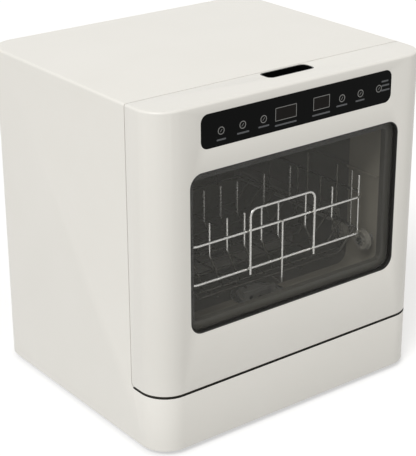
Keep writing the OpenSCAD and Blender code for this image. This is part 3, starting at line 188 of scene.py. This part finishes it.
def moulded(name, low, high, roughness, grain_mm, depth_mm, patch_mm=60, strength=0.4, **more):
    """A moulded plastic: a fine grain of that size and depth, and a slow drift between two close colours."""
    made, tree, shader, place = blank(name, Roughness=roughness, **more)
    patches = add(
        tree, "ShaderNodeTexNoise", {"Vector": place, "Scale": per_metre(patch_mm), "Detail": 3}
    )
    tree.links.new(two_tone(tree, patches.outputs["Fac"], low, high), shader.inputs["Base Color"])
    grained(tree, shader, place, grain_mm, depth_mm, strength)
    return made


def spangled_zinc(crystal_mm=3):
    """Zinc-plated sheet steel: soft grey with crystals of about 3 mm, which differ in gloss."""
    made, tree, shader, place = blank("zinc_plated_steel", Metallic=1.0)
    crystals = add(tree, "ShaderNodeTexVoronoi", {"Vector": place, "Scale": per_metre(crystal_mm)})
    level = add(tree, "ShaderNodeSeparateColor", {"Color": crystals.outputs["Color"]}).outputs["Red"]
    tree.links.new(two_tone(tree, level, "#b9bcbe", "#cfd1d2"), shader.inputs["Base Color"])
    rough = add(tree, "ShaderNodeMapRange", {"Value": level, "To Min": 0.24, "To Max": 0.38})
    tree.links.new(rough.outputs["Result"], shader.inputs["Roughness"])
    return made


def drawn_wire(name, low, high, rough_low, rough_high, scale="", depths=None, heights=None, streak_mm=2.5):
    """Drawn and polished stainless wire: bright, with faint streaks.

    A painted shade of that colour comes in from the first to the second depth (Y), and height (Z), darkening
    the wire deeper in the tub."""
    made, tree, shader, place = blank(name, Metallic=1.0)
    streaks = add(
        tree, "ShaderNodeTexNoise", {"Vector": place, "Scale": per_metre(streak_mm), "Detail": 3}
    )
    colour = two_tone(tree, streaks.outputs["Fac"], low, high)
    # scale is the colour of the painted shade deeper in the tub.
    if scale:
        parts = add(tree, "ShaderNodeSeparateXYZ", {"Vector": place})
        shade_amount = ramp(tree, parts.outputs["Y"], *depths)
        if heights:
            shade_amount = larger(tree, shade_amount, ramp(tree, parts.outputs["Z"], *heights))
        colour = add(
            tree, "ShaderNodeMix", {"Factor": shade_amount, "A": colour, "B": linear(scale)}, data_type="RGBA"
        ).outputs["Result"]
    tree.links.new(colour, shader.inputs["Base Color"])
    rough = add(
        tree,
        "ShaderNodeMapRange",
        {"Value": streaks.outputs["Fac"], "To Min": rough_low, "To Max": rough_high},
    )
    tree.links.new(rough.outputs["Result"], shader.inputs["Roughness"])
    return made


def lining(name, collar_start=-102.5, collar_end=-100.5, drift_per_metre=22):
    """Tub moulding: satin polypropylene, with painted light making it lighter at the mouth and painted shade
    darkening the tub behind it.
    """
    made, tree, shader, place = blank(name, Roughness=0.42)
    depth = add(tree, "ShaderNodeSeparateXYZ", {"Vector": place}).outputs["Y"]
    into_shade = ramp(tree, depth, collar_start, collar_end)
    patches = add(
        tree, "ShaderNodeTexNoise", {"Vector": place, "Scale": drift_per_metre, "Detail": 3}
    ).outputs["Fac"]
    # Painted light: the lighter tone at the mouth, where light from outside falls.
    lit_collar = two_tone(tree, patches, "#9a9587", "#8f8a7d")
    # Painted shade: the dark tone deeper in the tub.
    shaded_cave = two_tone(tree, patches, "#4b4941", "#45433c")
    both = add(tree, "ShaderNodeMix", {"Factor": into_shade, "A": lit_collar, "B": shaded_cave}, data_type="RGBA")
    tree.links.new(both.outputs["Result"], shader.inputs["Base Color"])
    grained(tree, shader, place, 4, 0.03, 0.15)
    return made


def shaded(name, dark, pale, roughness, sill=(190, 160), jamb=(130, 180)):
    """A moulding round the window: dark, with painted light making it paler down its sill (Z) and out along
    its right jamb (X), where those faces catch the light.
    """
    made, tree, shader, place = blank(name, Roughness=roughness)
    parts = add(tree, "ShaderNodeSeparateXYZ", {"Vector": place})
    # Painted light: toward the sill and right jamb the colour goes to the paler tone.
    painted_light_part = larger(
        tree, ramp(tree, parts.outputs["Z"], *sill), ramp(tree, parts.outputs["X"], *jamb)
    )
    tree.links.new(two_tone(tree, painted_light_part, dark, pale), shader.inputs["Base Color"])
    grained(tree, shader, place, 1, 0.04, 0.2)
    return made


def smoked_glass(waves=6):
    """Body-tinted toughened glass: a clear dark pane, flat and glossy.

    The roller wave of toughening repeats about every 50 mm at this scale, and is barely felt."""
    made, tree, shader, place = blank("smoked_toughened_glass", Roughness=0.03, IOR=1.5, Alpha=0.18)
    wave = add(
        tree,
        "ShaderNodeTexWave",
        {"Vector": place, "Scale": waves, "Distortion": 1.5},
        bands_direction="Z",
    )
    tree.links.new(two_tone(tree, wave.outputs["Fac"], "#595853", "#5c5b56"), shader.inputs["Base Color"])
    bump = add(
        tree, "ShaderNodeBump", {"Height": wave.outputs["Fac"], "Strength": 0.05, "Distance": 0.1 * MM}
    )
    tree.links.new(bump.outputs["Normal"], shader.inputs["Normal"])
    return made


def board(runs_per_metre=160):
    """Fibreglass circuit board: green resin, with lighter copper runs about 3 mm long under it."""
    made, tree, shader, place = blank("green_resin_board", Roughness=0.3)
    runs = add(
        tree, "ShaderNodeTexBrick", {"Vector": place, "Scale": runs_per_metre, "Mortar Size": 0.03}
    )
    tree.links.new(two_tone(tree, runs.outputs["Fac"], "#1f5a35", "#2d7a49"), shader.inputs["Base Color"])
    return made


# Each moulded resin: name, two close colours, roughness, grain and its depth in mm, and patch in mm.

# White ABS from a spark-eroded mould, satin: broad soft highlights, and 1.2 mm waves too shallow to see.
SHELL = moulded("satin_white_ABS", "#eeece7", "#eae8e2", 0.38, 1.2, 0.02, 90, 0.25)
# Painted shade in the narrow seam below the door: the shell's ABS painted near black on the faces of the gap
# between door and plinth, where shade falls.
SEAM_SHADE = moulded("painted_seam_shade", "#12110f", "#1a1917", 0.8, 0.8, 0.02, 20)
# Grey polypropylene, matt: the rear panel, rails and spray arm, with a grain of 1 mm.
GREY = moulded("matt_grey_polypropylene", "#8f8e8a", "#86857f", 0.6, 1.0, 0.05, 50)
# The same resin left light: valve, sensor, latch jaw and covers.
LIGHT = moulded("light_polypropylene", "#d9d8d2", "#cfcec6", 0.45, 1.0, 0.03, 40)
# Black-grey glass-filled polypropylene: pump bodies, base pan and catches, rough and dull.
DARK = moulded("dark_filled_polypropylene", "#2c2c2e", "#232325", 0.62, 0.9, 0.06, 45)
# EPDM rubber, dull and nearly black, with a slight bloom.
RUBBER = moulded("black_EPDM_rubber", "#161616", "#1f1f1e", 0.72, 0.7, 0.04, 12)
# Blow-moulded polyethylene of the water tank: milky, waxy and uneven.
MILKY = moulded("milky_polyethylene", "#dfe2e0", "#d2d6d4", 0.35, 6.0, 0.2, 70)
# Gloss black acrylic of the control strip: very smooth, a deep even black with the faintest ripple.
GLOSS = moulded(
    "gloss_black_acrylic", "#0a0b0b", "#0d0e0e", 0.08, 14.0, 0.02, 120, 0.1, Specular_IOR_Level=0.04
)
# Painted highlight on the finger slot's rounded edge: a satin grey ring where the gloss would catch the
# light.
SLOT_HIGHLIGHT = moulded("painted_slot_highlight", "#5a5a58", "#4c4c4a", 0.4, 0.6, 0.02, 6)
# Acetal rollers, satin and slightly yellowed.
ACETAL = moulded("satin_acetal", "#8c897f", "#827f76", 0.4, 0.9, 0.02, 20)
# Stove-enamelled motor can: even mid grey with a light orange peel.
MOTOR = moulded("enamelled_motor_can", "#6e7176", "#62656a", 0.35, 1.6, 0.05, 30)
# White ink printed on the strip: flat, and a little uneven where the screen left it.
INK = moulded("screen_printed_ink", "#838381", "#757573", 0.55, 0.4, 0.01, 3)
# The same ink, thinner, on the small bars.
THIN_INK = moulded("thin_printed_ink", "#55575a", "#484a4d", 0.55, 0.4, 0.01, 3)
# The displays' smoky filter film over unlit segments.
FILM = moulded("smoky_display_film", "#1a1715", "#161412", 0.18, 0.6, 0.005, 8, Specular_IOR_Level=0.06)

# Polypropylene of the door's inner panel, satin, dark olive, with painted light making it paler on its sill
# and right jamb, whose faces catch the light.
LINER = shaded("olive_grey_polypropylene", "#2b2a27", "#4f4d45", 0.5)
# The window's gasket: thermoplastic rubber, dull and nearly black, with painted light making it a little
# greyer on its sill and right jamb.
GASKET = shaded("grey_thermoplastic_rubber", "#100f0e", "#1c1b19", 0.65)
# The tub and front frame: painted light at the mouth and painted shade deeper inside.
LINING = lining("satin_tub_polypropylene")
GLASS = smoked_glass()
BOARD = board()

ZINC = spangled_zinc()
# The basket's handle, polished all over.
WIRE = drawn_wire("polished_stainless_wire", "#fbfaf5", "#fffefa", 0.2, 0.32)
# The same wire on the rims, with painted shade darkening them towards the sides and back of the tub.
RIM_WIRE = drawn_wire(
    "rim_stainless_wire", "#fbfaf5", "#fffefa", 0.2, 0.32, "#6a6860", depths=(-150, -118)
)
# The tines stay bright at their tips, with painted shade darkening them further back and lower down in the
# tub.
TINE_WIRE = drawn_wire(
    "tine_stainless_wire", "#f6f5f0", "#fbfaf6", 0.2, 0.34, "#55534c", depths=(-120, 30), heights=(222, 212)
)
# The floor wires are painted dark from end to end: painted shade for the dim floor of the tub.
FLOOR_SHADE_WIRE = drawn_wire("shaded_floor_wire", "#4a4843", "#57554f", 0.4, 0.55)

FINISH = {
    "cabinet_shell": SHELL,
    "door_outer_panel": SHELL,
    "rear_panel": GREY,
    "base_pan": DARK,
    "feet": RUBBER,
    "front_frame": LINING,
    "tub": LINING,
    "door_seal": RUBBER,
    "basket_rails": GREY,
    "ceiling_nozzle": DARK,
    "spray_hub": DARK,
    "sump": DARK,
    "wash_pump_housing": DARK,
    "wash_motor": MOTOR,
    "drain_pump": DARK,
    "heater": ZINC,
    "drain_hose": RUBBER,
    "inlet_valve": LIGHT,
    "fill_hose": RUBBER,
    "drain_connector": GREY,
    "cord_gland": RUBBER,
    "water_tank": MILKY,
    "fan_housing": DARK,
    "vent_grille": GREY,
    "control_box": LIGHT,
    "power_board": BOARD,
    "level_sensor": LIGHT,
    "hinge_brackets": ZINC,
    "door_springs": ZINC,
    "latch_housing": DARK,
    "door_switch": DARK,
    "switch_plunger": LIGHT,
    "cabinet_screws": ZINC,
    "roller_pins": ZINC,
    "window_glass": GLASS,
    "window_gasket": GASKET,
    "control_fascia": GLOSS,
    "display_modules": FILM,
    "touch_pads": ZINC,
    "touch_board": BOARD,
    "door_inner_panel": LINER,
    "finger_cup": GLOSS,
    "latch_tongue": ZINC,
    "hinge_arms": ZINC,
    "hinge_pins": ZINC,
    "door_screws": ZINC,
    "basket_rims": RIM_WIRE,
    "basket_floor": FLOOR_SHADE_WIRE,
    "basket_tines": TINE_WIRE,
    "basket_handle": WIRE,
    "front_rollers": ACETAL,
    "second_rollers": ACETAL,
    "spray_arm_lower": GREY,
    "spray_arm_upper": GREY,
    "filter_cup": GREY,
    "filter_plate": ZINC,
    "wash_impeller": GREY,
    "drain_impeller": GREY,
    "fan_rotor": DARK,
    "latch_jaw": LIGHT,
}


def coat(obj, material):
    """Gives obj that one material."""
    obj.data.materials.clear()
    obj.data.materials.append(material)


for name, material in FINISH.items():
    coat(nodes[name], material)


# ---- Eased copies of the mouldings ---------------------------------------------------------

# Points this close are one, faces this flat are one, and edges sharper than this are rounded off
WELD_MM = 0.01
FLAT = math.radians(0.5)
SHARP = math.radians(50)
# Faces that meet at less than this shade as one surface
SMOOTH = math.radians(35)


def pick(obj):
    """Selects obj alone and makes it active."""
    bpy.ops.object.select_all(action="DESELECT")
    obj.select_set(True)
    bpy.context.view_layer.objects.active = obj


def eased_copy(cad_name, name, body, width_mm):
    """A copy of a solid with its doubles merged and its sharp edges rounded off, which stands for it."""
    piece = bpy.data.objects.new(name, nodes[cad_name].data.copy())
    bpy.context.scene.collection.objects.link(piece)
    pick(piece)
    bpy.ops.object.mode_set(mode="EDIT")
    bpy.ops.mesh.select_all(action="SELECT")
    bpy.ops.mesh.remove_doubles(threshold=WELD_MM * MM)
    bpy.ops.mesh.dissolve_limited(angle_limit=FLAT)
    bpy.ops.object.mode_set(mode="OBJECT")
    ease = piece.modifiers.new("ease", "BEVEL")
    ease.limit_method = "ANGLE"
    ease.angle_limit = SHARP
    ease.width = width_mm * MM
    ease.segments = 3
    ease.use_clamp_overlap = True
    bpy.ops.object.modifier_apply(modifier="ease")
    bpy.ops.object.shade_smooth_by_angle(angle=SMOOTH)
    coat(piece, FINISH[cad_name])
    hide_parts(cad_name)
    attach(piece, body)
    return piece


def paint_seam_shade(piece, facing, height_mm):
    """Paints shade on the faces of piece at that height that face up (1) or down (-1), for the dark gap of
    the seam.
    """
    piece.data.materials.append(SEAM_SHADE)
    for face in piece.data.polygons:
        level = face.normal.z * facing > 0.7
        if level and abs(face.center.z - height_mm * MM) < SEAM_REACH * MM:
            face.material_index = 1


cabinet_skin = eased_copy("cabinet_shell", "cabinet_skin", "cabinet", 0.8)
# Painted shade on the plinth's top faces in the seam, and on the door's lower faces above it.
paint_seam_shade(cabinet_skin, 1, PLINTH_TOP)
door_skin = eased_copy("door_outer_panel", "door_skin", "door", 0.8)
paint_seam_shade(door_skin, -1, DOOR_LOW)

# The other mouldings: node, body, and rounding of the edges
EASED = (
    ("rear_panel", "cabinet", 0.5),
    ("base_pan", "cabinet", 0.4),
    ("front_frame", "cabinet", 0.4),
    ("feet", "cabinet", 0.5),
    ("tub", "cabinet", 0.4),
    ("basket_rails", "cabinet", 0.4),
    ("door_inner_panel", "door", 0.5),
    ("front_rollers", "front_roller_pair", 0.3),
    ("second_rollers", "second_roller_pair", 0.3),
    ("spray_arm_lower", "spray_arm", 0.4),
    ("spray_arm_upper", "spray_arm", 0.4),
)
for cad_name, body, width_mm in EASED:
    eased_copy(cad_name, f"{cad_name}_eased", body, width_mm)


# ---- Prints on the control strip, and the finger slot's bead of painted highlight ------------

# Points of a print that are this close are one
PRINT_WELD_MM = 0.002


def raised(name, middle, turn, size, corner, steps, line, rise, material):
    """A rounded plate on the door that stands up by rise, or only its rim where a line width is given.

    Its corners are rounded in that many steps. Lengths are in millimetres, and turns in degrees."""
    bpy.ops.object.select_all(action="DESELECT")
    bpy.ops.mesh.primitive_plane_add(
        size=1, location=[c * MM for c in middle], rotation=[math.radians(a) for a in turn]
    )
    plate = bpy.context.object
    plate.scale = (size[0] * MM, size[1] * MM, 1)
    bpy.ops.object.transform_apply(location=True, rotation=True, scale=True)
    bpy.ops.object.mode_set(mode="EDIT")
    bpy.ops.mesh.select_all(action="SELECT")
    bpy.ops.mesh.bevel(offset=corner * MM, segments=steps, affect="VERTICES")
    if line:
        bpy.ops.mesh.select_all(action="SELECT")
        bpy.ops.mesh.inset(thickness=line * MM)
        bpy.ops.mesh.delete(type="FACE")
    bpy.ops.mesh.select_all(action="SELECT")
    bpy.ops.mesh.extrude_region_move(TRANSFORM_OT_translate={"value": [c * MM for c in rise]})
    bpy.ops.mesh.select_all(action="SELECT")
    bpy.ops.mesh.remove_doubles(threshold=PRINT_WELD_MM * MM)
    bpy.ops.mesh.normals_make_consistent(inside=False)
    bpy.ops.object.mode_set(mode="OBJECT")
    plate.name = name
    coat(plate, material)
    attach(plate, "door")


def printed(name, x, z, width, height, corner, line=0.0, lean=0.0, material=INK):
    """A rounded shape of ink on the strip, or its outline where a line width is given."""
    middle = (x, INK_BACK, z)
    rise = (0, INK_FACE - INK_BACK, 0)
    raised(name, middle, (90, lean, 0), (width, height), corner, 7, line, rise, material)


for number, (x, z) in enumerate(KEYS, 1):
    printed(f"key_ring_{number}", x, z, 9.4, 9.4, 4.6, line=1.0)
    printed(f"key_tick_{number}", x, z, 4.4, 0.6, 0.28, lean=-48)
for name, x, z, width in DISPLAYS:
    printed(f"{name}_outline", x, z, width, DISPLAY_HEIGHT, 0.5, line=0.8)
for name, x, z, width in DISPLAYS:
    printed(f"{name}_film", x, z, width - 2, DISPLAY_HEIGHT - 2, 0.3, material=FILM)
raised("slot_highlight_lip", SLOT_MIDDLE, (0, 0, 0), SLOT_SIZE, 7.2, 9, 0.75, (0, 0, 0.4), SLOT_HIGHLIGHT)
for number, (x, z, width) in enumerate(LABELS, 1):
    printed(f"label_bar_{number}", x, z, width, 2.0, 0.9, material=THIN_INK)


# ---- Room and lights -----------------------------------------------------------------

# How strongly the white room lights the object, and how strongly the lamp does
ROOM_LIGHT = 0.53
LAMP_LIGHT = 1.75
# The way to the lamp from the object, and how wide it looks from there
LAMP_WAY = (-0.6, -0.325, 0.73)
LAMP_SPREAD = math.radians(25)
# What the floor adds to its own colour where it is only looked at
FLOOR_GLOW = 0.52


def onlookers(tree, *kinds):
    """1 for rays of these kinds, which show the backdrop and don't light the object."""
    path = add(tree, "ShaderNodeLightPath")
    seen = path.outputs[kinds[0]]
    for kind in kinds[1:]:
        seen = larger(tree, seen, path.outputs[kind])
    return seen


def set_world():
    """A white room with a slightly warm, even light."""
    world = bpy.data.worlds.new("studio")
    bpy.context.scene.world = world
    world.use_nodes = True
    tree = world.node_tree
    room = tree.nodes["Background"]
    seen = onlookers(tree, "Is Camera Ray", "Is Transmission Ray", "Is Glossy Ray")
    level = add(tree, "ShaderNodeMapRange", {"Value": seen, "To Min": ROOM_LIGHT, "To Max": 1.0})
    tree.links.new(level.outputs["Result"], room.inputs["Strength"])
    tree.links.new(two_tone(tree, seen, "#fffdf8", "#ffffff"), room.inputs["Color"])


def set_lamp():
    """One broad soft lamp from the upper left of the front."""
    lamp = bpy.data.lights.new("window_light", "SUN")
    lamp.energy = LAMP_LIGHT
    lamp.angle = LAMP_SPREAD
    holder = bpy.data.objects.new("window_light", lamp)
    holder.matrix_world = Vector(LAMP_WAY).to_track_quat("Z", "Y").to_matrix().to_4x4()
    bpy.context.scene.collection.objects.link(holder)


def set_floor():
    """A plain pale floor that fades into the room and keeps the object's shadow."""
    bpy.ops.object.select_all(action="DESELECT")
    bpy.ops.mesh.primitive_plane_add(size=6, location=(0, 0, 0))
    floor = bpy.context.object
    floor.name = "floor"
    made, tree, shader, _ = blank(
        "pale_floor",
        Base_Color=linear("#c6c6c6"),
        Roughness=0.9,
        Specular_IOR_Level=0,
        Emission_Color=linear("#ffffff"),
    )
    seen = onlookers(tree, "Is Camera Ray", "Is Glossy Ray")
    glow = add(tree, "ShaderNodeMapRange", {"Value": seen, "To Min": 0.0, "To Max": FLOOR_GLOW})
    tree.links.new(glow.outputs["Result"], shader.inputs["Emission Strength"])
    coat(floor, made)


set_world()
set_lamp()
set_floor()
bpy.context.scene.view_settings.view_transform = "Standard"
